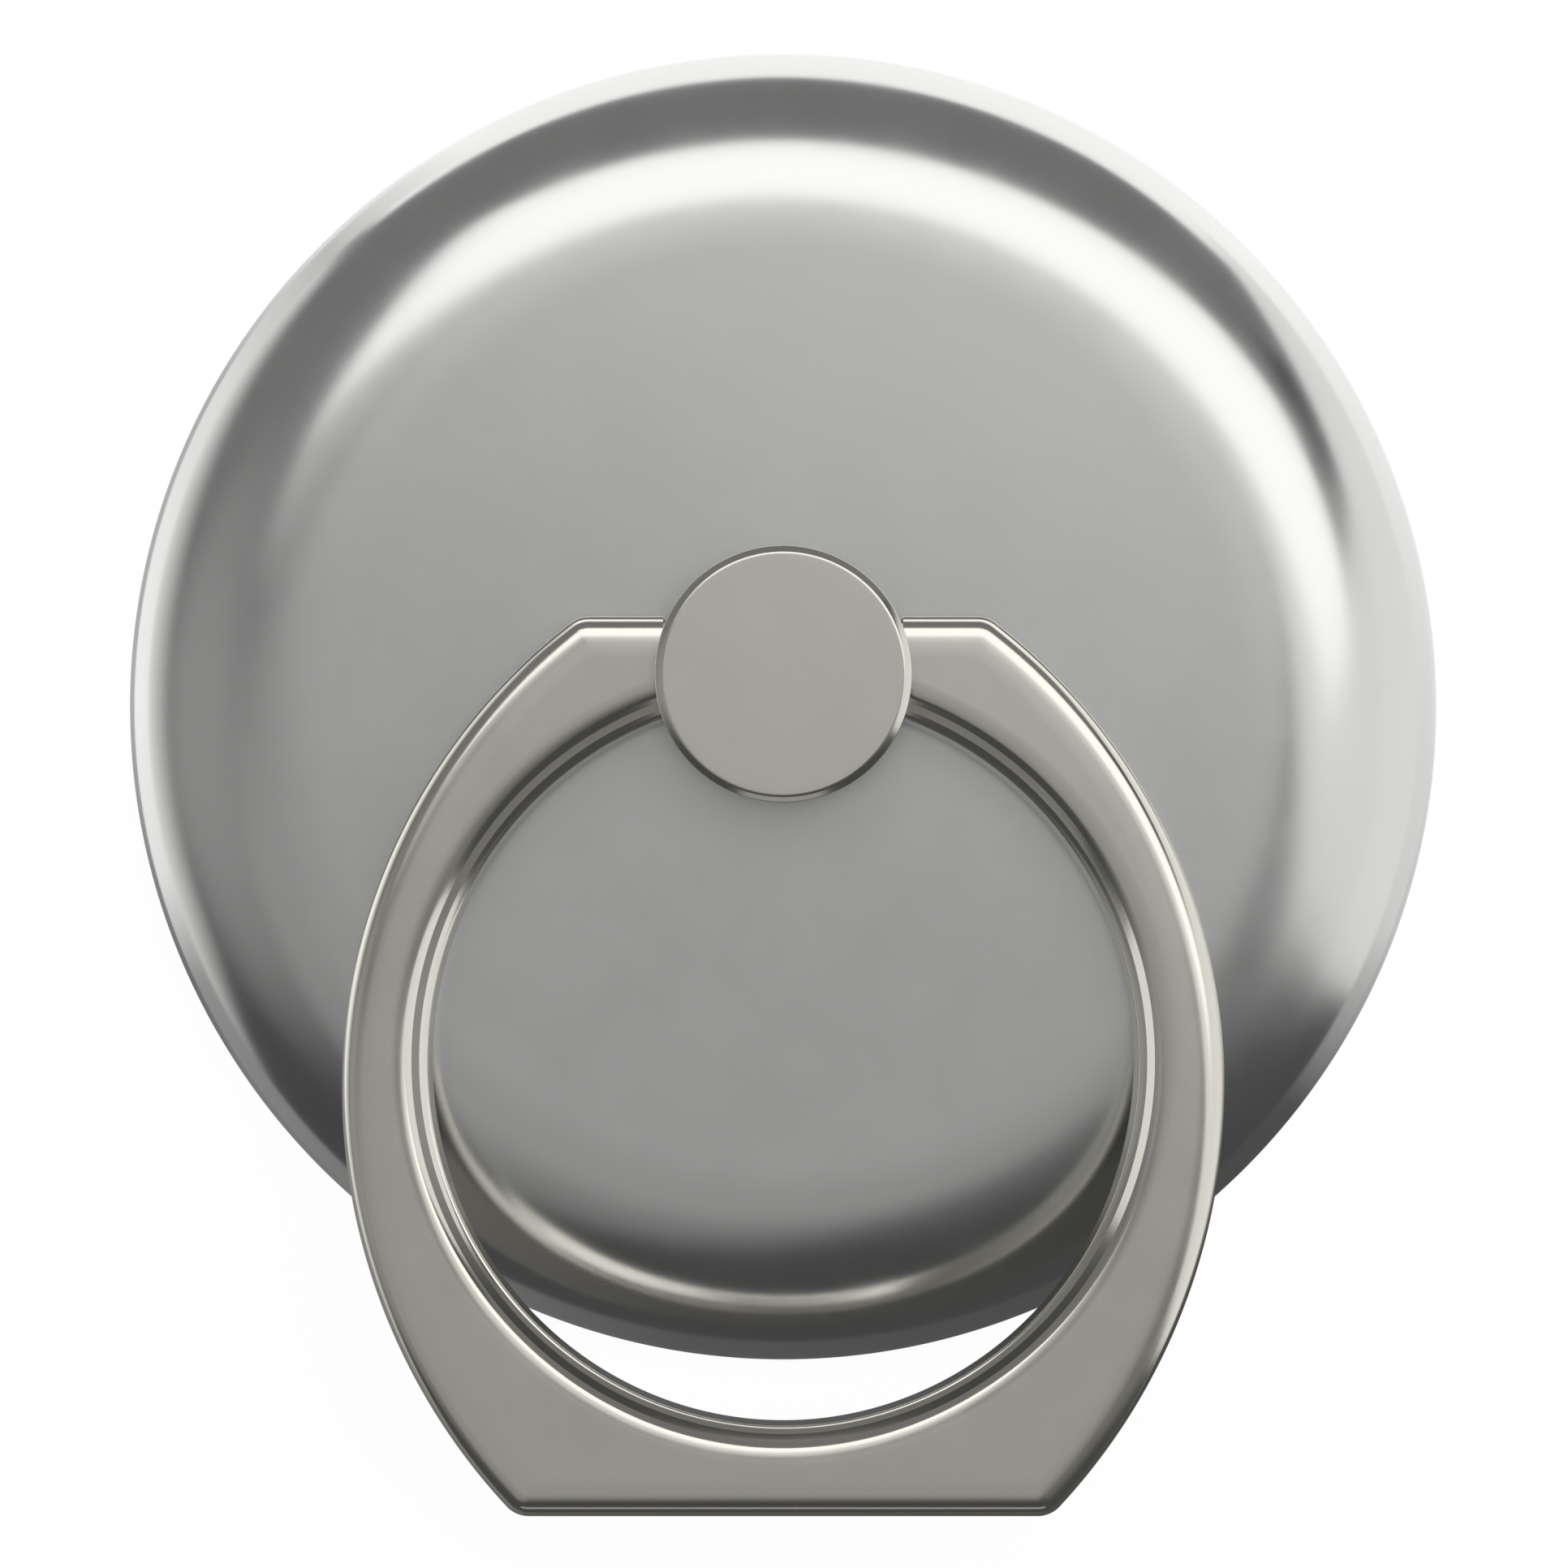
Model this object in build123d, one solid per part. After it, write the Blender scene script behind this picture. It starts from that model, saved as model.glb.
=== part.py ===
from build123d import *
import math
import os

# Phone ring holder: a round plate with an adhesive back, a hub that swivels on it,
# and a finger ring that folds flat over the plate or swings up to stand or hold.
# Millimetres, +Z away from the phone. The origin is the middle of the adhesive face,
# and the folded ring points towards -Y.

# Plate
plate_diameter = 39.0
plate_height = 3.1
edge_round_width = 5.7
rim_wall = 0.4
rim_chamfer = 0.12
rim_width = 1.9

# Adhesive pad, let into the back of the plate
pad_thickness = 0.8
pad_proud = 0.3
pad_side_gap = 0.1
pad_edge_round = 0.1

# Finger ring, measured from the hinge axis and the finger hole
hole_width = 20.86
hole_length = 21.4
hinge_to_hole = 0.8
hinge_to_top = 1.71
side_wall = 2.69
foot_wall = 2.84
widest_below_hole_centre = 0.8
top_flat = 12.16
foot_flat = 15.9
ring_thickness = 2.2
ring_corner_radius = 0.9
outer_round = 0.55
inner_round = 0.95
round_land = 0.1
arm_end_chamfer = 0.08
bar_diameter = 2.0

# Hub
hub_offset = 0.95
cap_diameter = 7.64
cap_thickness = 0.9
cap_bevel_width = 0.26
cap_bevel_depth = 0.2
cap_edge_round = 0.05
cap_overhang = 0.17
arm_cover = 0.33
arm_gap = 0.12
ring_to_plate_gap = 0.25
ring_to_cap_gap = 0.14
peg_diameter = 1.4
peg_length = 1.5
peg_play = 0.02
peg_hole_extra = 0.3
peg_chamfer = 0.15
hub_foot_chamfer = 0.15

# Friction shoe and its leaf spring, above the hinge bar
running_clearance = 0.03
shoe_wall = 0.3
shoe_wrap = 0.6
shoe_end_inset = 0.4
leaf_height = 0.37
leaf_thickness = 0.15
leaf_end_inset = 0.3
leaf_side_inset = 0.15
touch_gap = 0.01

# Stem and the stack that holds it under the plate
stem_diameter = 4.0
slide_washer_thickness = 0.2
slide_washer_inset = 0.05
disc_spring_thickness = 0.2
disc_spring_cone = 0.2
thrust_washer_thickness = 0.25
washer_play = 0.05
stack_diameter = 7.6
well_gap = 0.5
clip_thickness = 0.4
clip_diameter = 6.6
clip_band = 0.95
clip_prong_width = 1.1
clip_prong_angle = 12.0
clip_play = 0.02
groove_depth = 0.4
groove_play = 0.05
stem_land = 0.35
stem_end_gap = 0.15
stem_chamfer = 0.15

# Radii and half sizes
plate_radius = plate_diameter / 2
recess_radius = plate_radius - rim_width
ring_half_width = hole_width / 2 + side_wall
ring_half_thickness = ring_thickness / 2
bar_radius = bar_diameter / 2
slot_half_width = bar_radius + running_clearance
cap_radius = cap_diameter / 2
neck_radius = cap_radius - cap_overhang
neck_half_width = cap_radius - arm_cover - arm_gap
arm_end = cap_radius - arm_cover
stem_radius = stem_diameter / 2
stack_radius = stack_diameter / 2
groove_radius = stem_radius - groove_depth

# Places in the plane of the plate, from the hinge axis
hole_centre_y = hub_offset - hinge_to_hole - hole_length / 2
ring_top_y = hub_offset + hinge_to_top
ring_foot_y = hole_centre_y - hole_length / 2 - foot_wall
ring_widest_y = hole_centre_y - widest_below_hole_centre

# Roundings of the ring, limited by its thickness
round_limit = ring_half_thickness - round_land
ring_outer_round = min(outer_round, round_limit)
ring_inner_round = min(inner_round, round_limit)


def corner_reach(edge, rounding):
    """How far a rounded corner of the ring's section swings from the hinge axis."""
    return math.hypot(edge - rounding, ring_half_thickness - rounding) + rounding


# Heights above the phone
rim_foot_z = pad_proud
pad_top_z = pad_thickness
plate_top_z = rim_foot_z + plate_height
rim_top_z = rim_foot_z + rim_wall
hub_foot_z = plate_top_z + slide_washer_thickness

hole_drop_at_cap = 1 - math.sqrt(1 - (cap_diameter / hole_width) ** 2)
hole_edge_at_cap = hinge_to_hole + hole_drop_at_cap * hole_length / 2
outer_reach = corner_reach(hinge_to_top, ring_outer_round)
inner_reach = corner_reach(hole_edge_at_cap, ring_inner_round)
hinge_z = plate_top_z + outer_reach + ring_to_plate_gap
cap_foot_z = hinge_z + max(inner_reach + ring_to_cap_gap, slot_half_width + shoe_wall + leaf_height)
cap_top_z = cap_foot_z + cap_thickness
shoe_top_z = cap_foot_z - leaf_height

stem_end_z = pad_top_z + stem_end_gap
groove_foot_z = stem_end_z + stem_land
clip_top_z = groove_foot_z + groove_play + clip_thickness
thrust_top_z = clip_top_z + thrust_washer_thickness
web_foot_z = thrust_top_z + touch_gap + disc_spring_cone + disc_spring_thickness

ON_FLOOR = (Align.CENTER, Align.CENTER, Align.MIN)
hub_place = Pos(0, hub_offset, 0)


def post(radius, foot_z, top_z):
    """Upright cylinder on the hub's axis."""
    return hub_place * Pos(0, 0, foot_z) * Cylinder(radius, top_z - foot_z, align=ON_FLOOR)


def washer(outer_radius, bore_radius, foot_z, top_z):
    """Flat washer on the hub's axis."""
    return post(outer_radius, foot_z, top_z) - post(bore_radius, foot_z, top_z)


def hinge_rod(radius, length):
    """Cylinder along the hinge axis, centred on the hub."""
    return Pos(0, hub_offset, hinge_z) * Rot(0, 90, 0) * Cylinder(radius, length)


def turned(points_and_curves):
    """Solid of revolution about Z from edges drawn as radius and height."""
    return revolve(Plane.XZ * make_face(points_and_curves), Axis.Z)


def make_base_plate():
    flat_radius = plate_radius - edge_round_width
    edge_curve = EllipticalCenterArc(
        (flat_radius, rim_top_z),
        edge_round_width,
        plate_top_z - rim_top_z,
        start_angle=0,
        arc_size=90,
    )
    back = Polyline(
        (plate_radius, rim_top_z),
        (plate_radius, rim_foot_z + rim_chamfer),
        (plate_radius - rim_chamfer, rim_foot_z),
        (recess_radius, rim_foot_z),
        (recess_radius, pad_top_z),
        (0, pad_top_z),
        (0, plate_top_z),
        (flat_radius, plate_top_z),
    )
    plate = turned([edge_curve, back])
    well = post(stack_radius + well_gap, pad_top_z, web_foot_z)
    bore = post(stem_radius + running_clearance, web_foot_z, plate_top_z)
    return plate - well - bore


def make_adhesive_pad():
    pad = Cylinder(recess_radius - pad_side_gap, pad_thickness, align=ON_FLOOR)
    return fillet(pad.edges().group_by(Axis.Z)[0], pad_edge_round)


def make_slide_washer():
    return washer(
        neck_half_width - slide_washer_inset,
        stem_radius + washer_play,
        plate_top_z,
        hub_foot_z,
    )


def make_disc_spring():
    bore_radius = stem_radius + washer_play
    inner_top_z = web_foot_z - disc_spring_cone
    section = Polyline(
        (stack_radius, web_foot_z),
        (stack_radius, web_foot_z - disc_spring_thickness),
        (bore_radius, inner_top_z - disc_spring_thickness),
        (bore_radius, inner_top_z),
        close=True,
    )
    return hub_place * turned([section])


def make_thrust_washer():
    return washer(stack_radius, stem_radius + washer_play, clip_top_z, thrust_top_z)


def make_retaining_clip():
    """Open clip with three prongs that seat in the stem's groove."""
    clip_radius = clip_diameter / 2
    relief_radius = clip_radius - clip_band
    seat_radius = groove_radius + clip_play
    band = Circle(clip_radius) - Circle(relief_radius)
    mouth = Pos(0, clip_radius) * Rectangle(2 * groove_radius, 2 * clip_radius)
    band -= mouth
    prong_length = clip_radius - clip_band / 2
    for angle in (clip_prong_angle, 180 - clip_prong_angle, 270):
        band += Rot(0, 0, angle) * Pos(prong_length / 2, 0) * Rectangle(prong_length, clip_prong_width)
    band -= Circle(seat_radius)
    clip_foot_z = clip_top_z - clip_thickness
    return hub_place * Pos(0, 0, clip_foot_z) * extrude(band, clip_thickness)


def cheek_places():
    """Middles of the two cheeks beside the slot, where the cap's pegs go in."""
    reach = (slot_half_width + neck_radius) / 2
    return [Pos(0, hub_offset + side * reach, cap_foot_z) for side in (1, -1)]


def make_hub_body():
    neck = post(neck_radius, hub_foot_z, cap_foot_z)
    neck = chamfer(neck.edges().group_by(Axis.Z)[0], hub_foot_chamfer)
    across = Box(2 * neck_half_width, 2 * neck_radius, cap_foot_z - hub_foot_z, align=ON_FLOOR)
    neck &= hub_place * Pos(0, 0, hub_foot_z) * across
    slot_length = 2 * neck_radius
    slot_top = Box(slot_length, 2 * slot_half_width, cap_foot_z - hinge_z, align=ON_FLOOR)
    neck -= hinge_rod(slot_half_width, slot_length)
    neck -= Pos(0, hub_offset, hinge_z) * slot_top
    hole_depth = peg_length + peg_hole_extra
    hole_radius = peg_diameter / 2 + peg_play
    for place in cheek_places():
        neck -= place * Pos(0, 0, -hole_depth) * Cylinder(hole_radius, hole_depth, align=ON_FLOOR)
    stem = post(stem_radius, stem_end_z, hub_foot_z)
    stem = chamfer(stem.edges().group_by(Axis.Z)[0], stem_chamfer)
    groove = washer(2 * stem_radius, groove_radius, groove_foot_z, clip_top_z)
    return neck + (stem - groove)


def make_hub_cap():
    outline = Polyline(
        (0, cap_foot_z),
        (cap_radius, cap_foot_z),
        (cap_radius, cap_top_z - cap_bevel_depth),
        (cap_radius - cap_bevel_width, cap_top_z),
        (0, cap_top_z),
        close=True,
    )
    section = make_face(outline)
    outer_corners = section.vertices().filter_by(lambda vertex: vertex.X > neck_half_width)
    section = fillet(outer_corners, cap_edge_round)
    cap = hub_place * revolve(Plane.XZ * section, Axis.Z)
    for place in cheek_places():
        peg = Cylinder(peg_diameter / 2, peg_length, align=ON_FLOOR)
        peg = chamfer(peg.edges().group_by(Axis.Z)[0], peg_chamfer)
        cap += place * Pos(0, 0, -peg_length) * peg
    return cap


def make_friction_shoe():
    length = 2 * (neck_half_width - shoe_end_inset)
    shoe_foot_z = hinge_z + shoe_wrap
    block = Box(length, 2 * (slot_half_width - running_clearance), shoe_top_z - shoe_foot_z, align=ON_FLOOR)
    return Pos(0, hub_offset, shoe_foot_z) * block - hinge_rod(slot_half_width, 2 * length)


def make_shoe_spring():
    """Bowed leaf whose ends stand on the shoe and whose crown bears on the cap."""
    half_length = neck_half_width - shoe_end_inset - leaf_end_inset
    low_z = shoe_top_z + touch_gap
    crown_z = cap_foot_z - touch_gap
    under = ThreePointArc((-half_length, low_z), (0, crown_z - leaf_thickness), (half_length, low_z))
    over = ThreePointArc(
        (half_length, low_z + leaf_thickness),
        (0, crown_z),
        (-half_length, low_z + leaf_thickness),
    )
    ends = [Line(under @ 1, over @ 0), Line(over @ 1, under @ 0)]
    section = make_face([under, over, *ends])
    half_width = slot_half_width - leaf_side_inset
    return hub_place * extrude(Plane.XZ * section, half_width, both=True)


def side_arc(corner_x, corner_y):
    """Arc from a corner of the ring's outline that is upright where the ring is widest."""
    across = ring_half_width - abs(corner_x)
    along = corner_y - ring_widest_y
    radius = (across**2 + along**2) / (2 * across)
    side = math.copysign(1, corner_x)
    half_turn = math.atan2(along, radius - across) / 2
    middle_x = side * (ring_half_width - radius + radius * math.cos(half_turn))
    middle_y = ring_widest_y + radius * math.sin(half_turn)
    widest = (side * ring_half_width, ring_widest_y)
    return ThreePointArc((corner_x, corner_y), (middle_x, middle_y), widest)


def ring_outline():
    """Barrel-shaped outline of the ring, flat at its top and foot, with the finger hole cut out."""
    corners = [
        (top_flat / 2, ring_top_y),
        (foot_flat / 2, ring_foot_y),
        (-foot_flat / 2, ring_foot_y),
        (-top_flat / 2, ring_top_y),
    ]
    flats = [Line(corners[3], corners[0]), Line(corners[1], corners[2])]
    sides = [side_arc(x, y) for x, y in corners]
    outline = make_face([*flats, *sides])
    sharp = outline.vertices().filter_by(lambda vertex: abs(vertex.Y - ring_widest_y) > foot_wall)
    outline = fillet(sharp, ring_corner_radius)
    hole_halves = [
        EllipticalCenterArc((0, hole_centre_y), hole_width / 2, hole_length / 2, start, arc_size=180)
        for start in (-90, 90)
    ]
    return outline - make_face(hole_halves)


def flat_faces(body):
    """The ring's back and front faces."""
    by_height = body.faces().filter_by(Axis.Z).sort_by(Axis.Z)
    return [by_height[0], by_height[-1]]


def make_finger_ring():
    ring = Pos(0, 0, hinge_z) * extrude(ring_outline(), ring_half_thickness, both=True)
    outer_edges = [edge for face in flat_faces(ring) for edge in face.outer_wire().edges()]
    ring = fillet(outer_edges, ring_outer_round)
    inner_edges = [edge for face in flat_faces(ring) for edge in face.inner_wires()[0].edges()]
    ring = fillet(inner_edges, ring_inner_round)
    window_height = 2 * (ring_top_y - hole_centre_y)
    window = Box(2 * arm_end, window_height, window_height)
    ring -= Pos(0, hole_centre_y + window_height / 2, hinge_z) * window
    arm_ends = ring.faces().filter_by(Plane.YZ)
    ring = chamfer([edge for face in arm_ends for edge in face.edges()], arm_end_chamfer)
    return ring + hinge_rod(bar_radius, 2 * (arm_end + bar_radius))


nodes = {
    "base_plate": make_base_plate,
    "adhesive_pad": make_adhesive_pad,
    "slide_washer": make_slide_washer,
    "disc_spring": make_disc_spring,
    "thrust_washer": make_thrust_washer,
    "retaining_clip": make_retaining_clip,
    "hub_body": make_hub_body,
    "hub_cap": make_hub_cap,
    "friction_shoe": make_friction_shoe,
    "shoe_spring": make_shoe_spring,
    "finger_ring": make_finger_ring,
}

os.makedirs("parts", exist_ok=True)
for name, make in nodes.items():
    export_step(make(), f"parts/{name}.step")
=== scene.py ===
import math

import bmesh
import bpy
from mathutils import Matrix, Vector


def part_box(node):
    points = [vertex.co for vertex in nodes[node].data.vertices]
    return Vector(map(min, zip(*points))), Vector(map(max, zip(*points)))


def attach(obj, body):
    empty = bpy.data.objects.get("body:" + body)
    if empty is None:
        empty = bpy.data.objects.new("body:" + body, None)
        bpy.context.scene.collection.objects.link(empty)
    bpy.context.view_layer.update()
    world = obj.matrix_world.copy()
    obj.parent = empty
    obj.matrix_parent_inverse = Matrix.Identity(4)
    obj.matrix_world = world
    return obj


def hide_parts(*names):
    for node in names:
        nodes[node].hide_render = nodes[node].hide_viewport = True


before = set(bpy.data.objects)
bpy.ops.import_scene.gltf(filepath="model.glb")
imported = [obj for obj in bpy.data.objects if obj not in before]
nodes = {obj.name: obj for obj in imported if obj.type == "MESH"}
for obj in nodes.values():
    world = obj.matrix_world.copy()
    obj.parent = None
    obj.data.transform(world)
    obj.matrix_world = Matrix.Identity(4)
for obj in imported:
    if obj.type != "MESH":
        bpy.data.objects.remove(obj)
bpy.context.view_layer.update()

# Sizes in this script are millimetres, and meshes are scaled to metres when they are made
MM = 0.001


def node_box(name):
    low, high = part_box(name)
    return low / MM, high / MM


plate_low, plate_high = node_box("base_plate")
ring_low, ring_high = node_box("finger_ring")
cap_low, cap_high = node_box("hub_cap")
pad_low, pad_high = node_box("adhesive_pad")

# Plate
plate_radius = plate_high.x
plate_top_z = plate_high.z
rim_foot_z = plate_low.z
edge_round_width = 5.7
rim_wall = 0.4
rim_chamfer = 0.12
rim_width = 1.9
hub_y = (cap_low.y + cap_high.y) / 2
bore_radius = 2.03
well_radius = 4.3
web_foot_z = node_box("disc_spring")[1].z

# Finger ring
hole_width = 20.86
hole_length = 21.4
hole_below_hub = 0.8
widest_below_hole = 0.8
hole_centre_y = hub_y - hole_below_hub - hole_length / 2
widest_y = hole_centre_y - widest_below_hole
top_flat = 12.16
foot_flat = 15.9
ring_corner_radius = 0.9
least_corner_radius = 0.08
bar_radius = 1.0
arm_end = 3.49
arm_end_chamfer = 0.08
hinge_z = (ring_low.z + ring_high.z) / 2

# Width and height of the quarter ellipses at the ring's outer edge, which add up, and at the hole's foot
outer_edge = ((0.4, 0.4), (0.75, 0.11))
inner_foot = (0.35, 0.4)

# Slope of the hole's edge in degrees by distance from the hole. A distance that comes twice is a sharp corner
inner_rounding = (
    (1.35, 0), (1.2, 4), (1.08, 6.5), (1, 8), (0.92, 9.5), (0.86, 12), (0.8, 21), (0.74, 29), (0.62, 31),
)
inner_groove = ((0.62, -25), (0.39, -23), (0.39, 30))
inner_lip = ((0.28, 30), (0.24, 20), (0.2, 16), (0.17, 24), (0.15, 55), (0.135, 78))
inner_wall = ((0.125, 85.5), (0.06, 84), (0, 82))
inner_edge = inner_rounding + inner_groove + inner_lip + inner_wall

# Hub cap
cap_radius = cap_high.x
cap_top_z = cap_high.z
cap_thickness = 0.9
cap_foot_z = cap_top_z - cap_thickness
cap_bevel_start = 3.67
cap_bevel_slope = math.radians(28)
cap_face_round = 0.25
cap_side_round = 0.04
cap_foot_round = 0.05
peg_radius = 0.7
peg_chamfer = 0.15
peg_reach = 2.34

# Adhesive pad
pad_radius = pad_high.x
pad_round = 0.1

# The photograph looks straight down on the part
picture_side = 1932
plate_pixels = 1613
plate_middle_pixel = (965, 870)
picture_middle = picture_side / 2
pixel = 2 * plate_radius / plate_pixels
frame_width = picture_side * pixel
aim_x = (picture_middle - plate_middle_pixel[0]) * pixel
aim_y = (plate_middle_pixel[1] - picture_middle) * pixel
lens_mm = 1000
sensor_mm = 36

# Brightness of the floor by direction in degrees from +X, as a share of the brightest
floor_peak = 1.25
# Next to the plate the levels are lower than further out, mostly on the left: a painted shadow of the part on
# the floor, as the rim mirrors it
near_floor_painted_shadow = (
    (-180, 0.42), (-165, 0.23), (-155, 0.15), (-145, 0.2), (-125, 0.18), (-100, 0.1),
    (-50, 0.07), (-38, 0.08), (-27, 0.35), (-20, 0.54), (0, 0.76), (20, 0.85),
    (45, 0.97), (120, 0.95), (135, 0.75), (150, 0.44), (165, 0.43), (180, 0.42),
)
far_floor = (
    (-180, 0.95), (-165, 0.83), (-155, 0.3), (-145, 0.25), (-125, 0.18), (-100, 0.1),
    (-50, 0.07), (-38, 0.08), (-27, 0.4), (-20, 0.66), (0, 0.74), (20, 0.87),
    (45, 1), (120, 0.97), (135, 0.55), (150, 0.78), (165, 0.9), (180, 0.95),
)
floor_inner = plate_radius - rim_width
floor_border = plate_radius + 1.4
floor_outer = 1400


def mesh_object(name, points, faces, sharp_angle):
    """Closed piece from points in millimetres, smooth except at edges sharper than an angle in degrees."""
    mesh = bpy.data.meshes.new(name)
    mesh.from_pydata([Vector(p) * MM for p in points], [], faces)
    shape = bmesh.new()
    shape.from_mesh(mesh)
    bmesh.ops.recalc_face_normals(shape, faces=shape.faces)
    shape.to_mesh(mesh)
    shape.free()
    mesh.shade_smooth()
    mesh.set_sharp_from_angle(angle=math.radians(sharp_angle))
    piece = bpy.data.objects.new(name, mesh)
    bpy.context.scene.collection.objects.link(piece)
    return piece


def grid_faces(row_starts, row_length, close_rows, close_columns):
    """Quads between neighbouring rows of points."""
    faces = []
    row_count = len(row_starts)
    for i in range(row_count if close_rows else row_count - 1):
        here, there = row_starts[i], row_starts[(i + 1) % row_count]
        for k in range(row_length if close_columns else row_length - 1):
            after = (k + 1) % row_length
            faces.append((here + k, here + after, there + after, there + k))
    return faces


def loop_faces(inner, outer):
    """Quads between two closed loops of point numbers."""
    count = len(inner)
    return [(inner[i], inner[(i + 1) % count], outer[(i + 1) % count], outer[i]) for i in range(count)]


def lathe(name, rings, segments, sharp_angle, closed):
    """Stack of circles given as (centre y, radius, z). A closed stack joins its last circle to its first."""
    points, starts = [], []
    for centre_y, radius, z in rings:
        starts.append(len(points))
        for k in range(segments):
            turn = 2 * math.pi * k / segments
            points.append((radius * math.cos(turn), centre_y + radius * math.sin(turn), z))
    faces = grid_faces(starts, segments, closed, True)
    if not closed:
        faces.append(tuple(range(starts[0], starts[0] + segments)))
        faces.append(tuple(range(starts[-1], starts[-1] + segments)))
    return mesh_object(name, points, faces, sharp_angle)


def rounding(ellipses, steps):
    """Edge as (distance from the side, drop from the face): quarter ellipses, added at equal slopes."""
    curve = []
    for i in range(steps + 1):
        slope = math.radians(90 * i / steps)
        inset = drop = 0
        for width, height in ellipses:
            turn = math.atan2(math.sin(slope) * width, math.cos(slope) * height)
            inset += width * (1 - math.sin(turn))
            drop += height * (1 - math.cos(turn))
        curve.append((inset, drop))
    return curve


def slope_curve(slopes, step):
    """Edge as (distance from the side, drop from the face) that follows slopes given by distance."""
    drop = 0
    curve = [(slopes[0][0], drop)]
    for (start, first), (end, last) in zip(slopes, slopes[1:]):
        if start == end:
            continue
        count = math.ceil((start - end) / step)
        width = (start - end) / count
        for i in range(count):
            slope = first + (last - first) * (i + 0.5) / count
            drop += width * math.tan(math.radians(slope))
            curve.append((start - width * (i + 1), drop))
    return curve


def between(first, last, steps):
    """Rings or points spaced evenly from first up to but not including last."""
    return [
        tuple(a + (b - a) * i / steps for a, b in zip(first, last))
        for i in range(steps)
    ]


def make_plate():
    segments, edge_steps, support = 384, 60, 0.15
    face_steps, recess_steps, sharp_angle = 8, 4, 30
    rim_top_z = rim_foot_z + rim_wall
    recess_radius = plate_radius - rim_width
    recess_z = pad_high.z
    face_end = (0, plate_radius - edge_round_width - support, plate_top_z)
    rings = between((hub_y, bore_radius, plate_top_z), face_end, face_steps)
    rings.append(face_end)
    for inset, drop in rounding([(edge_round_width, plate_top_z - rim_top_z)], edge_steps):
        rings.append((0, plate_radius - inset, plate_top_z - drop))
    rings += [
        (0, plate_radius, rim_foot_z + rim_chamfer),
        (0, plate_radius - rim_chamfer, rim_foot_z),
        (0, recess_radius, rim_foot_z),
        (0, recess_radius, recess_z),
    ]
    rings += between((0, recess_radius - support, recess_z), (hub_y, well_radius, recess_z), recess_steps)
    rings += [
        (hub_y, well_radius, recess_z),
        (hub_y, well_radius, web_foot_z),
        (hub_y, bore_radius, web_foot_z),
    ]
    plate = lathe("plate", rings, segments, sharp_angle, closed=True)
    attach(plate, "base")
    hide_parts("base_plate")
    return plate


def arc(centre, radius, start, end, steps):
    """Points along a circle from one angle up to but not including another."""
    turns = [start + (end - start) * i / steps for i in range(steps)]
    return [(centre[0] + radius * math.cos(a), centre[1] + radius * math.sin(a)) for a in turns]


def side_circle(corner_x, corner_y):
    """Centre and radius of the side's circle through a corner, upright where the ring is widest."""
    half_width = ring_high.x
    across = half_width - corner_x
    along = corner_y - widest_y
    radius = (across**2 + along**2) / (2 * across)
    return (half_width - radius, widest_y), radius


def corner(side, flat_y, inset):
    """Centre, radius and meeting angle of the small arc between a flat and the side's circle."""
    (side_x, side_y), side_radius = side
    towards = 1 if flat_y > widest_y else -1
    radius = max(ring_corner_radius - inset, least_corner_radius)
    y = flat_y - towards * (inset + radius)
    x = side_x + math.sqrt((side_radius - inset - radius) ** 2 - (y - side_y) ** 2)
    return (x, y), radius, math.atan2(y - side_y, x - side_x)


def right_outline(start_x):
    """Function that gives the right half of the ring's outline, moved inwards by an inset."""
    top_steps, corner_steps, side_steps, foot_steps = 10, 18, 90, 30
    upper, lower = side_circle(top_flat / 2, ring_high.y), side_circle(foot_flat / 2, ring_low.y)

    def outline(inset):
        top_y, foot_y = ring_high.y - inset, ring_low.y + inset
        top_centre, top_radius, top_meet = corner(upper, ring_high.y, inset)
        foot_centre, foot_radius, foot_meet = corner(lower, ring_low.y, inset)
        points = between((start_x, top_y), (top_centre[0], top_y), top_steps)
        points += arc(top_centre, top_radius, math.pi / 2, top_meet, corner_steps)
        points += arc(upper[0], upper[1] - inset, top_meet, 0, side_steps)
        points += arc(lower[0], lower[1] - inset, 0, foot_meet, side_steps)
        points += arc(foot_centre, foot_radius, foot_meet, -math.pi / 2, corner_steps)
        points += between((foot_centre[0], foot_y), (0, foot_y), foot_steps)
        points.append((0, foot_y))
        return points

    return outline


def right_hole(start_x, shares):
    """Function that gives the right half of the finger hole's edge, moved outwards by an offset."""
    halvings = 60

    def point(turn, offset):
        x, y = hole_width / 2 * math.cos(turn), hole_length / 2 * math.sin(turn)
        normal = Vector((x / hole_width**2, y / hole_length**2)).normalized()
        return x + offset * normal.x, hole_centre_y + y + offset * normal.y

    def edge(offset):
        low, high = 0.0, math.pi / 2
        for _ in range(halvings):
            middle = (low + high) / 2
            low, high = (middle, high) if point(middle, offset)[0] > start_x else (low, middle)
        return [point(share * (low + math.pi / 2) - math.pi / 2, offset) for share in shares]

    return edge


def mirrored(half, z):
    """Row of points at one height: the right half from the arm to the foot, then the left half back up."""
    right = [(x, y, z) for x, y in half]
    return right + [(-x, y, z) for x, y, z in reversed(right[:-1])]


def flat_face(inside, outside, z):
    """Rows of a flat face from the hole's edge to the outline, with one row close to each."""
    steps, support = 8, 0.04
    rows = []
    for share in [0, support] + [i / steps for i in range(1, steps)] + [1 - support, 1]:
        half = [
            (a[0] + (b[0] - a[0]) * share, a[1] + (b[1] - a[1]) * share)
            for a, b in zip(inside, outside)
        ]
        rows.append(mirrored(half, z))
    return rows


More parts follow.
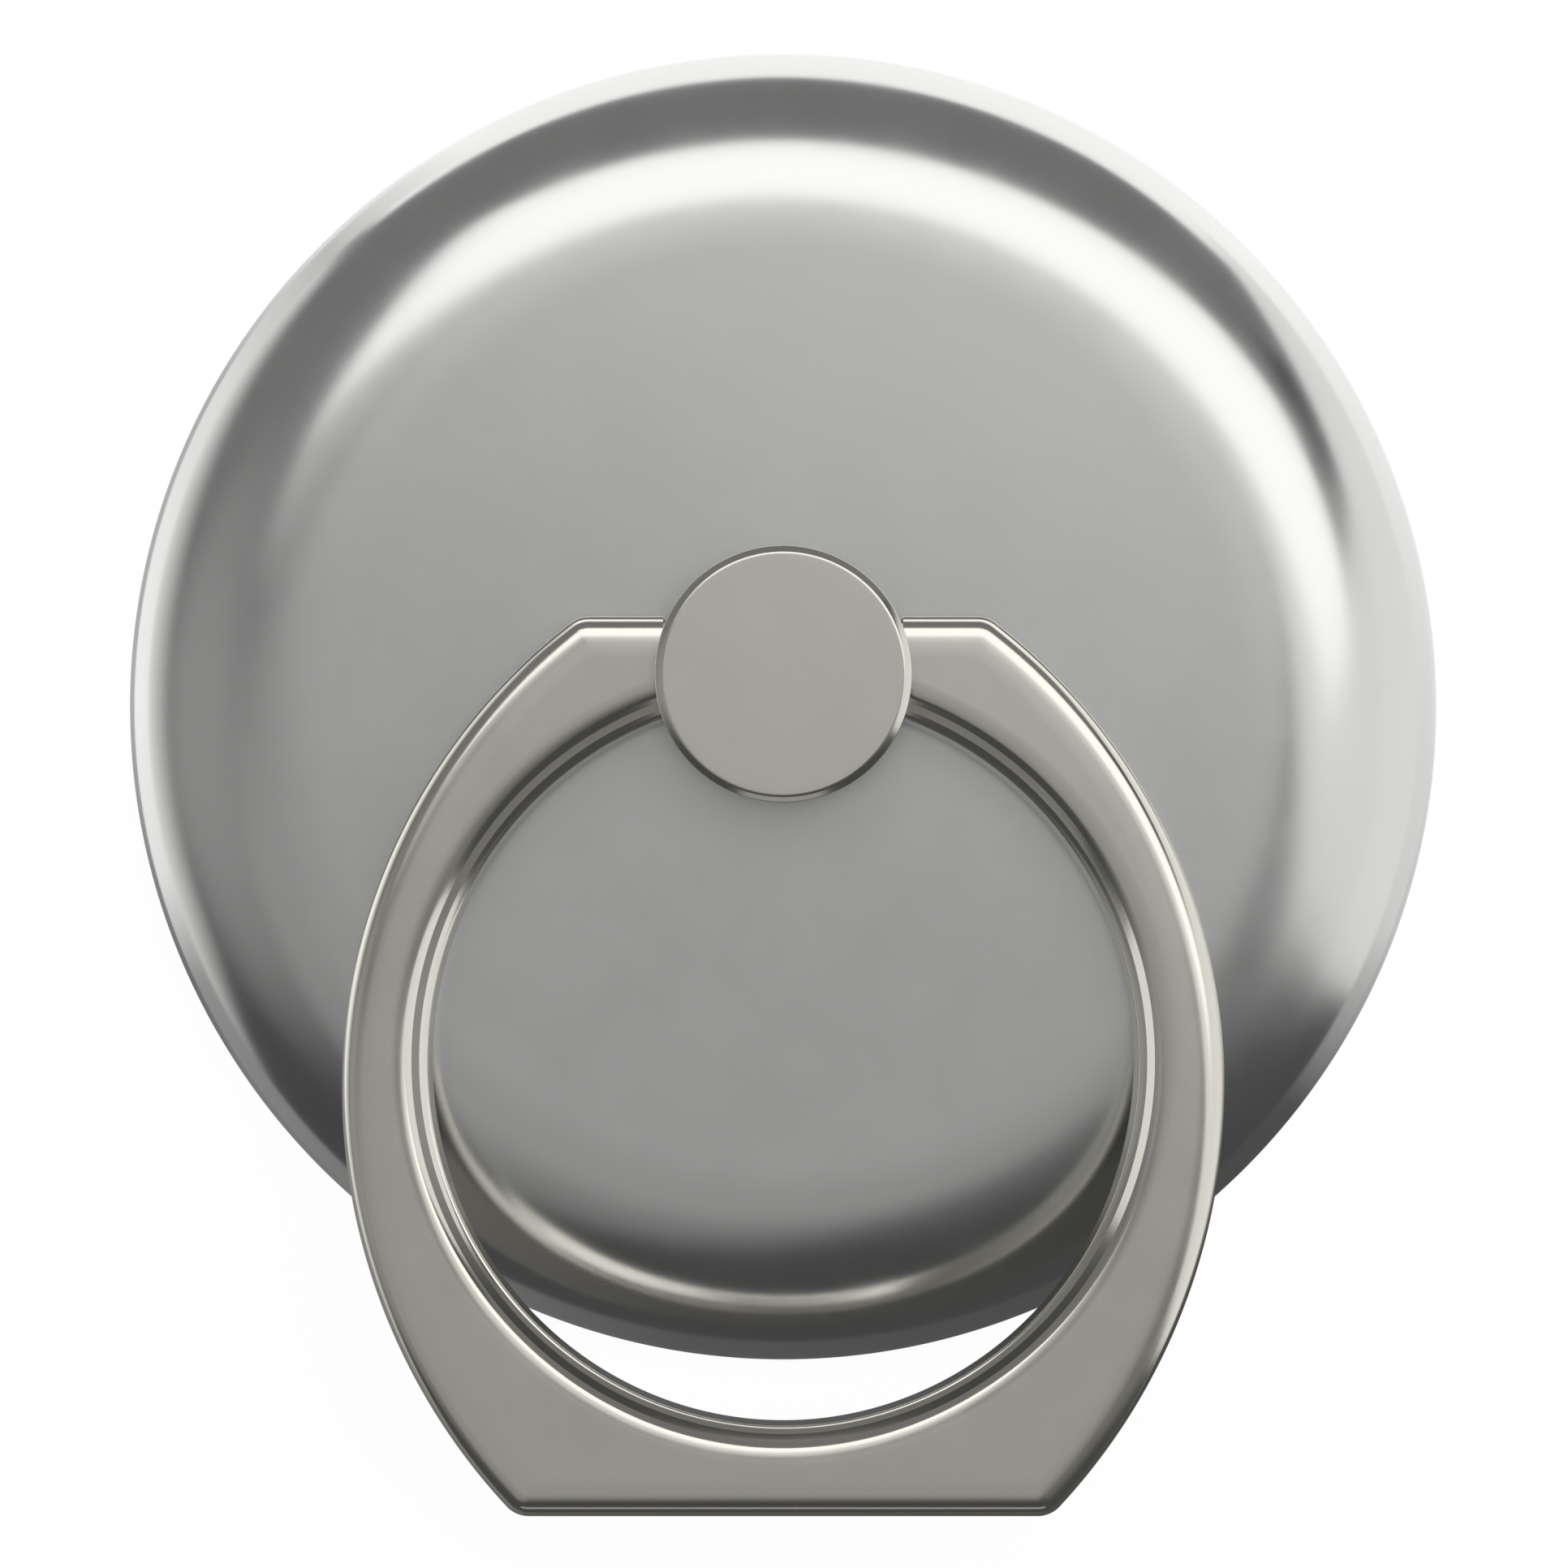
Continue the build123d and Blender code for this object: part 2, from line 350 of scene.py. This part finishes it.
def ring_rows():
    """Rows of points from one arm's end to the other, in order around the ring's section."""
    round_steps, foot_steps, inner_step = 24, 12, 0.035
    start_x = arm_end + arm_end_chamfer
    outline = right_outline(start_x)
    turns = [math.atan2(y - hole_centre_y, x) + math.pi / 2 for x, y in outline(0)]
    hole = right_hole(start_x, [turn / turns[0] for turn in turns])
    outer_curve = rounding(outer_edge, round_steps)
    inner_curve = slope_curve(inner_edge, inner_step)
    foot_curve = rounding([inner_foot], foot_steps)
    top_z, foot_z = ring_high.z, ring_low.z
    face_border = outline(outer_curve[0][0])
    rows = flat_face(hole(inner_curve[0][0]), face_border, top_z)
    rows += [mirrored(outline(inset), top_z - drop) for inset, drop in outer_curve[1:]]
    rows += [mirrored(outline(inset), foot_z + drop) for inset, drop in outer_curve[:0:-1]]
    rows += flat_face(hole(foot_curve[0][0]), face_border, foot_z)[::-1]
    rows += [mirrored(hole(inset), foot_z + drop) for inset, drop in foot_curve[1:]]
    rows += [mirrored(hole(inset), top_z - drop) for inset, drop in inner_curve[:0:-1]]
    return rows


def make_ring():
    sharp_angle = 30
    rows = ring_rows()
    row_count, stations = len(rows), len(rows[0])
    points = [p for row in rows for p in row]
    faces = grid_faces([i * stations for i in range(row_count)], stations, True, False)
    # Each arm ends in a chamfered face, and the hinge bar joins the two faces
    bars = []
    for station, side in ((0, 1), (stations - 1, -1)):
        section = [Vector(row[station][1:]) for row in rows]
        base = [i * stations + station for i in range(row_count)]
        chamfer = [len(points) + i for i in range(row_count)]
        for i in range(row_count):
            along = section[(i + 1) % row_count] - section[i - 1]
            inwards = Vector((along.y, -along.x)).normalized()
            y, z = section[i] + inwards * arm_end_chamfer
            points.append((side * arm_end, y, z))
        bar = [len(points) + i for i in range(row_count)]
        for i in chamfer:
            x, y, z = points[i]
            out = Vector((y - hub_y, z - hinge_z)).normalized() * bar_radius
            points.append((x, hub_y + out.x, hinge_z + out.y))
        faces += loop_faces(base, chamfer) + loop_faces(chamfer, bar)
        bars.append(bar)
    faces += loop_faces(*bars)
    ring = mesh_object("ring", points, faces, sharp_angle)
    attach(ring, "ring")
    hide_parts("finger_ring")
    return ring


def make_cap():
    segments, face_steps, steps, sharp_angle = 192, 4, 10, 40
    core_radius, support = 0.4, 0.3
    face_end = (hub_y, cap_bevel_start - support, cap_top_z)
    rings = between((hub_y, core_radius, cap_top_z), face_end, face_steps)
    rings.append(face_end)
    drop = 0
    for i in range(steps + 1):
        slope = cap_bevel_slope * i / steps
        radius = cap_bevel_start - cap_face_round * (math.sin(cap_bevel_slope) - math.sin(slope))
        drop = cap_face_round * (1 - math.cos(slope))
        rings.append((hub_y, radius, cap_top_z - drop))
    bevel_end = cap_radius - cap_side_round * (1 - math.sin(cap_bevel_slope))
    drop += (bevel_end - cap_bevel_start) * math.tan(cap_bevel_slope)
    round_foot = drop + cap_side_round * math.cos(cap_bevel_slope)
    for i in range(steps + 1):
        slope = cap_bevel_slope + (math.pi / 2 - cap_bevel_slope) * i / steps
        radius = cap_radius - cap_side_round * (1 - math.sin(slope))
        rings.append((hub_y, radius, cap_top_z - round_foot + cap_side_round * math.cos(slope)))
    for inset, rise in rounding([(cap_foot_round, cap_foot_round)], steps)[::-1]:
        rings.append((hub_y, cap_radius - inset, cap_foot_z + rise))
    rings.append((hub_y, core_radius, cap_foot_z))
    cap = lathe("cap", rings, segments, sharp_angle, closed=False)
    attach(cap, "hub")
    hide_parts("hub_cap")
    return cap


def make_peg(name, peg_y):
    """Peg under the cap that holds it in the hub."""
    segments, sharp_angle = 48, 30
    end_z = cap_low.z
    rings = [
        (peg_y, peg_radius, cap_foot_z),
        (peg_y, peg_radius, end_z + peg_chamfer),
        (peg_y, peg_radius - peg_chamfer, end_z),
    ]
    peg = lathe(name, rings, segments, sharp_angle, closed=False)
    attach(peg, "hub")
    return peg


def make_pad():
    """Foam disc with softly rounded rims and a faintly uneven sticky face."""
    segments, round_steps, back_steps, face_steps, sharp_angle = 256, 6, 4, 28, 40
    core_radius, near = 0.3, 0.001
    curve = rounding([(pad_round, pad_round)], round_steps)
    face_radius = pad_radius - curve[0][0]
    rings = between((0, core_radius, pad_high.z), (0, face_radius, pad_high.z), back_steps)
    rings += [(0, pad_radius - inset, pad_high.z - drop) for inset, drop in curve]
    rings += [(0, pad_radius - inset, pad_low.z + drop) for inset, drop in curve[::-1]]
    face_core = (0, core_radius, pad_low.z)
    rings += between((0, face_radius, pad_low.z), face_core, face_steps)[1:] + [face_core]
    pad = lathe("foam_pad", rings, segments, sharp_angle, closed=False)
    dip, border, waves, sway, wrinkle = 0.02, 1.5, (1.7, 2.3), 0.8, 0.5
    for vertex in pad.data.vertices:
        x, y, z = vertex.co / MM
        inside = min(1, (face_radius - math.hypot(x, y)) / border)
        if z < pad_low.z + near and inside > 0:
            swell = math.sin(waves[0] * x + sway * math.sin(y)) * math.sin(waves[1] * y + wrinkle * x)
            vertex.co.z += dip * MM * inside * (0.5 + 0.5 * swell)
    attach(pad, "base")
    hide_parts("adhesive_pad")
    return pad


def add(tree, kind, **settings):
    node = tree.nodes.new(kind)
    for key, value in settings.items():
        setattr(node, key, value)
    return node


def linked(tree, kind, inputs, **settings):
    """New node whose inputs are given as sockets to link or as plain values."""
    node = add(tree, kind, **settings)
    for key, value in inputs.items():
        if isinstance(value, bpy.types.NodeSocket):
            tree.links.new(value, node.inputs[key])
        else:
            node.inputs[key].default_value = value
    return node


def calculate(tree, operation, *values):
    return linked(tree, "ShaderNodeMath", dict(enumerate(values)), operation=operation).outputs[0]


def dot(tree, vector, axis):
    node = linked(tree, "ShaderNodeVectorMath", {0: vector, 1: axis}, operation="DOT_PRODUCT")
    return node.outputs["Value"]


def spread(tree, value, source, target):
    """Value moved smoothly from one range to another, and held at its ends."""
    limits = {"From Min": source[0], "From Max": source[1], "To Min": target[0], "To Max": target[1]}
    node = linked(tree, "ShaderNodeMapRange", {"Value": value, **limits}, interpolation_type="SMOOTHSTEP")
    return node.outputs["Result"]


def noise(tree, place, scale, detail):
    return linked(tree, "ShaderNodeTexNoise", {"Vector": place, "Scale": scale, "Detail": detail}).outputs[0]


def color_mix(tree, share, first, second):
    node = linked(tree, "ShaderNodeMix", {"Factor": share, "A": first, "B": second}, data_type="RGBA")
    return node.outputs["Result"]


def tint(color, share):
    return (*(part * share for part in color), 1)


def new_material(name):
    material = bpy.data.materials.new(name)
    material.use_nodes = True
    tree = material.node_tree
    return material, tree, tree.nodes["Principled BSDF"]


def emboss(tree, shader, height, strength, depth):
    """Bump on a shader's surface, with its depth in millimetres."""
    bump = linked(tree, "ShaderNodeBump", {"Height": height, "Strength": strength, "Distance": depth * MM})
    tree.links.new(bump.outputs["Normal"], shader.inputs["Normal"])


def satin_metal(name, color, polish, satin):
    """Plated metal: flats with a fine satin grain, rounded edges polished smoother and a little brighter."""
    material, tree, shader = new_material(name)
    shader.inputs["Metallic"].default_value = 1.0
    coords = add(tree, "ShaderNodeTexCoord")
    place = coords.outputs["Object"]
    facing = linked(tree, "ShaderNodeSeparateXYZ", {0: coords.outputs["Normal"]}).outputs["Z"]
    upright = calculate(tree, "ABSOLUTE", facing)
    grain = noise(tree, place, scale=16000, detail=2)
    patches = noise(tree, place, scale=450, detail=3)
    # Flats are blasted, the rest is polished, and handling leaves patches on both
    flat = spread(tree, upright, (0.994, 0.9998), (0, 1))
    blasted = calculate(tree, "MULTIPLY", flat, spread(tree, grain, (0.3, 0.7), (0.9, 1.1)))
    finish = calculate(tree, "MULTIPLY_ADD", blasted, satin - polish, polish)
    handled = spread(tree, patches, (0.3, 0.7), (-0.012, 0.012))
    tree.links.new(calculate(tree, "ADD", finish, handled), shader.inputs["Roughness"])
    # The plating is slightly cloudy, and rubbed a little brighter on the edges
    cloud = spread(tree, patches, (0.25, 0.75), (0, 1))
    body = color_mix(tree, cloud, tint(color, 0.985), tint(color, 1.01))
    rubbed = spread(tree, upright, (0.55, 0.99), (1, 0))
    tree.links.new(color_mix(tree, rubbed, body, tint(color, 1.02)), shader.inputs["Base Color"])
    emboss(tree, shader, noise(tree, place, scale=14000, detail=2), strength=0.02, depth=0.01)
    return material


def moulded_plastic(name, color):
    """Acetal with a faint mould texture."""
    material, tree, shader = new_material(name)
    place = add(tree, "ShaderNodeTexCoord").outputs["Object"]
    patches = noise(tree, place, scale=900, detail=4)
    shade = color_mix(tree, patches, tint(color, 0.93), tint(color, 1.04))
    tree.links.new(shade, shader.inputs["Base Color"])
    tree.links.new(spread(tree, patches, (0.3, 0.7), (0.38, 0.55)), shader.inputs["Roughness"])
    emboss(tree, shader, noise(tree, place, scale=9000, detail=3), strength=0.25, depth=0.02)
    return material


def closed_cell_foam(name, color):
    """Black foam tape: fine cells, some of them open, with a dull skin between and painted shade in the cell
    hollows.
    """
    material, tree, shader = new_material(name)
    place = add(tree, "ShaderNodeTexCoord").outputs["Object"]
    cells = linked(tree, "ShaderNodeTexVoronoi", {"Vector": place, "Scale": 5200, "Randomness": 1.0})
    skin_and_hollow_shade = spread(tree, cells.outputs["Distance"], (0.15, 0.65), (0, 1))
    cloud = noise(tree, place, scale=600, detail=5)
    skin = color_mix(tree, cloud, tint(color, 0.75), tint(color, 1.5))
    # Painted shade: the cell hollows, which the bump sinks, are coloured half as bright as the foam
    tree.links.new(color_mix(tree, skin_and_hollow_shade, tint(color, 0.5), skin), shader.inputs["Base Color"])
    tree.links.new(spread(tree, skin_and_hollow_shade, (0, 1), (0.95, 0.68)), shader.inputs["Roughness"])
    emboss(tree, shader, skin_and_hollow_shade, strength=0.5, depth=0.06)
    return material


def dress(piece, material):
    piece.data.materials.clear()
    piece.data.materials.append(material)


def studio_sheet(name, points, faces):
    """Mesh around the part, from points in millimetres, with an empty material of its own."""
    mesh = bpy.data.meshes.new(name)
    mesh.from_pydata([Vector(p) * MM for p in points], [], faces)
    sheet = bpy.data.objects.new(name, mesh)
    bpy.context.scene.collection.objects.link(sheet)
    material = bpy.data.materials.new(name)
    material.use_nodes = True
    material.node_tree.nodes.clear()
    mesh.materials.append(material)
    return sheet, material.node_tree


def surface(tree, shader):
    linked(tree, "ShaderNodeOutputMaterial", {"Surface": shader.outputs[0]})


def card(name, corners, strength):
    """Glowing card of even brightness, seen in reflections but not by the camera."""
    sheet, tree = studio_sheet(name, corners, [tuple(range(len(corners)))])
    sheet.visible_camera = False
    surface(tree, linked(tree, "ShaderNodeEmission", {"Strength": strength}))


def ceiling_card(name, z, strength, outline):
    card(name, [(x, y, z) for x, y in outline], strength)


def make_ceiling():
    """Cards overhead. A lower card covers the ones above it."""
    ceiling_card("ceiling_softbox", z=597, strength=1.43, outline=[
        (-260, 155), (-265, 400), (0, 425), (180, 395), (365, 355), (470, 285), (480, 165),
        (430, 40), (310, 5), (240, 40), (180, 100), (110, 140), (0, 160), (-135, 165),
    ])
    ceiling_card("right_ceiling", z=601, strength=0.92, outline=[
        (165, 45), (170, 0), (235, -65), (315, -140), (475, -225),
        (785, -400), (785, 315), (675, 235), (565, 165), (485, 135),
    ])
    ceiling_card("right_flag", z=603, strength=0.06, outline=[
        (545, 290), (605, 470), (805, 570), (805, 375), (665, 275),
    ])
    ceiling_card("ceiling_haze", z=606, strength=0.8, outline=[
        (-150, 150), (-75, 120), (0, 110), (80, 80), (135, 50), (185, 0),
        (300, 20), (330, 60), (190, 150), (0, 200), (-200, 200),
    ])
    ceiling_card("left_haze", z=608, strength=0.52, outline=[
        (-75, 120), (-110, 95), (-215, 75), (-280, 95), (-280, 200), (-130, 200),
    ])


def make_walls():
    """Cards that stand around the part."""
    right_x, back_y, front_y = 785, 985, -900
    right_wall = [(-400, 0), (-400, 601), (315, 601), (615, 415), (815, 195), (925, 0)]
    card("right_wall", [(right_x, y, z) for y, z in right_wall], strength=0.95)
    back_wall = [(-830, 0), (-830, 155), (-570, 155), (0, 165), (570, 225), (950, 340), (950, 0)]
    card("back_wall", [(x, back_y, z) for x, z in back_wall], strength=1.25)
    front_card = [(-330, 490), (-330, 730), (330, 730), (330, 490)]
    card("front_card", [(x, front_y, z) for x, z in front_card], strength=0.42)
    # The left wall brightens towards the floor in steps, each a lower card a little nearer than the last
    left_x, spacing, narrowing = -990, 4, 0.1
    left_wall = [(-700, 0), (-680, 60), (-420, 440), (0, 430), (300, 420), (570, 370), (980, 330), (980, 0)]
    height_and_strength = ((1.15, 0.33), (0.92, 0.48), (0.7, 0.62), (0.46, 0.76), (0.2, 0.9))
    for step, (height, strength) in enumerate(height_and_strength):
        front_reach = 1 - narrowing * step
        corners = [
            (left_x + spacing * step, y if y > 0 else y * front_reach, z * height)
            for y, z in left_wall
        ]
        card(f"left_wall_{step}", corners, strength)


def make_floor_glow(name, inner_radius, outer_radius, levels):
    """Pale floor as the rim mirrors it, brighter at the back, seen only in reflections; lower levels next to
    the plate are a painted shadow of the part.
    """
    segments, lift = 96, 0.02
    points = []
    for radius in (inner_radius, outer_radius):
        for k in range(segments):
            turn = 2 * math.pi * k / segments
            points.append((radius * math.cos(turn), radius * math.sin(turn), lift))
    sheet, tree = studio_sheet(name, points, grid_faces([0, segments], segments, False, True))
    sheet.visible_camera = False
    sheet.visible_diffuse = False
    sheet.visible_shadow = False
    place = add(tree, "ShaderNodeTexCoord").outputs["Object"]
    turn = linked(tree, "ShaderNodeTexGradient", {0: place}, gradient_type="RADIAL").outputs[1]
    ramp = linked(tree, "ShaderNodeValToRGB", {0: turn})
    stops = ramp.color_ramp.elements
    while len(stops) < len(levels):
        stops.new(0.5)
    for stop, (degrees, level) in zip(stops, levels):
        stop.position = degrees / 360 + 0.5
        stop.color = (level, level, level, 1)
    surface(tree, linked(tree, "ShaderNodeEmission", {"Color": ramp.outputs[0], "Strength": floor_peak}))


def make_scrim():
    """Sheet above the part, brighter towards the ceiling softbox, that thins out to nothing at its edge."""
    reach, height = 60, 60
    corners = [(-reach, -reach, 0), (-reach, reach, 0), (reach, reach, 0), (reach, -reach, 0)]
    scrim, tree = studio_sheet("scrim", corners, [(0, 1, 2, 3)])
    scrim.location = (0, 0, height * MM)
    scrim.visible_camera = False
    uphill, low_end, high_end = (0.4, 1, 0), -14, 16
    dimmest, gain, bend = 0.395, 0.325, 1.8
    place = add(tree, "ShaderNodeTexCoord").outputs["Object"]
    limits = {"From Min": low_end * MM, "From Max": high_end * MM}
    rise = linked(tree, "ShaderNodeMapRange", {"Value": dot(tree, place, uphill), **limits}).outputs["Result"]
    level = calculate(tree, "MULTIPLY_ADD", calculate(tree, "POWER", rise, bend), gain, dimmest)
    glow = linked(tree, "ShaderNodeEmission", {"Strength": level})
    # A honeycomb under the sheet, tilted a little to the front left, lets light almost straight down only
    axis = linked(tree, "ShaderNodeCombineXYZ", {"X": 0.030, "Y": 0.043, "Z": -1})
    slant = linked(tree, "ShaderNodeLayerWeight", {"Blend": 0.5, "Normal": axis.outputs[0]}).outputs["Facing"]
    cover = spread(tree, slant, (0.0055, 0.05), (1, 0))
    clear = add(tree, "ShaderNodeBsdfTransparent")
    surface(tree, linked(tree, "ShaderNodeMixShader", {0: cover, 1: clear.outputs[0], 2: glow.outputs[0]}))


def make_world():
    """Dim room, darker in front, with a soft glow on the left and one overhead."""
    left_glow, overhead_glow = (-0.69, -0.06, 0.72), (-0.2, -0.2, 0.96)
    world = bpy.data.worlds.new("world")
    bpy.context.scene.world = world
    world.use_nodes = True
    tree = world.node_tree
    direction = add(tree, "ShaderNodeTexCoord").outputs["Generated"]
    backwards = linked(tree, "ShaderNodeSeparateXYZ", {0: direction}).outputs["Y"]
    room = spread(tree, backwards, (-0.5, -0.1), (0.075, 0.21))
    left = spread(tree, dot(tree, direction, left_glow), (0.9, 1), (0, 0.14))
    overhead = spread(tree, dot(tree, direction, overhead_glow), (0.945, 0.985), (0, 0.15))
    level = calculate(tree, "ADD", calculate(tree, "ADD", room, left), overhead)
    background = tree.nodes["Background"]
    background.inputs["Color"].default_value = (1, 1, 1, 1)
    tree.links.new(level, background.inputs["Strength"])


def make_floor():
    """Pale floor, white to the camera and in reflections, that keeps a little of the part's shadow."""
    reach, paleness, glow_strength, glow_share = 1500, 0.9, 1.07, 0.9
    corners = [(-reach, -reach, 0), (reach, -reach, 0), (reach, reach, 0), (-reach, reach, 0)]
    _, tree = studio_sheet("floor", corners, [(0, 1, 2, 3)])
    diffuse = linked(tree, "ShaderNodeBsdfDiffuse", {"Color": (paleness, paleness, paleness, 1)})
    glow = linked(tree, "ShaderNodeEmission", {"Strength": glow_strength})
    rays = add(tree, "ShaderNodeLightPath").outputs
    seen = calculate(tree, "MAXIMUM", rays["Is Camera Ray"], rays["Is Glossy Ray"])
    seen = calculate(tree, "MAXIMUM", seen, rays["Is Transmission Ray"])
    share = calculate(tree, "MULTIPLY", seen, glow_share)
    surface(tree, linked(tree, "ShaderNodeMixShader", {0: share, 1: diffuse.outputs[0], 2: glow.outputs[0]}))


def make_camera():
    camera_data = bpy.data.cameras.new("camera")
    camera_data.lens = lens_mm
    camera_data.sensor_width = sensor_mm
    distance = frame_width * lens_mm / sensor_mm * MM
    camera_data.clip_start = distance / 100
    camera_data.clip_end = 2 * distance
    camera = bpy.data.objects.new("camera", camera_data)
    camera.location = (aim_x * MM, aim_y * MM, plate_top_z * MM + distance)
    bpy.context.scene.collection.objects.link(camera)
    bpy.context.scene.camera = camera


# Materials: colour, then roughness of the polished edges and of the satin flats
plate_metal = satin_metal("plate_metal", (0.70, 0.70, 0.69), polish=0.17, satin=0.245)
ring_metal = satin_metal("ring_metal", (0.72, 0.703, 0.634), polish=0.14, satin=0.225)
cap_metal = satin_metal("cap_metal", (0.70, 0.686, 0.624), polish=0.16, satin=0.325)
hub_metal = satin_metal("hub_metal", (0.6, 0.59, 0.55), polish=0.3, satin=0.4)
spring_steel = satin_metal("spring_steel", (0.6, 0.6, 0.6), polish=0.22, satin=0.34)
washer_plastic = moulded_plastic("washer_plastic", (0.8, 0.79, 0.75))
foam_tape = closed_cell_foam("foam_tape", (0.05, 0.05, 0.055))

# Pieces
dress(make_plate(), plate_metal)
dress(make_ring(), ring_metal)
dress(make_cap(), cap_metal)
dress(make_peg("cap_peg_back", hub_y + peg_reach), cap_metal)
dress(make_peg("cap_peg_front", hub_y - peg_reach), cap_metal)
dress(make_pad(), foam_tape)
for node_name, material in {
    "hub_body": hub_metal,
    "disc_spring": spring_steel,
    "thrust_washer": spring_steel,
    "retaining_clip": spring_steel,
    "shoe_spring": spring_steel,
    "slide_washer": washer_plastic,
    "friction_shoe": washer_plastic,
}.items():
    dress(nodes[node_name], material)

# Studio
make_camera()
make_world()
make_floor()
make_ceiling()
make_walls()
# The ring of floor next to the plate carries a painted shadow of the part
make_floor_glow("near_floor_painted_shadow", floor_inner, floor_border, near_floor_painted_shadow)
make_floor_glow("far_floor", floor_border, floor_outer, far_floor)
make_scrim()
bpy.context.scene.view_settings.view_transform = "Standard"
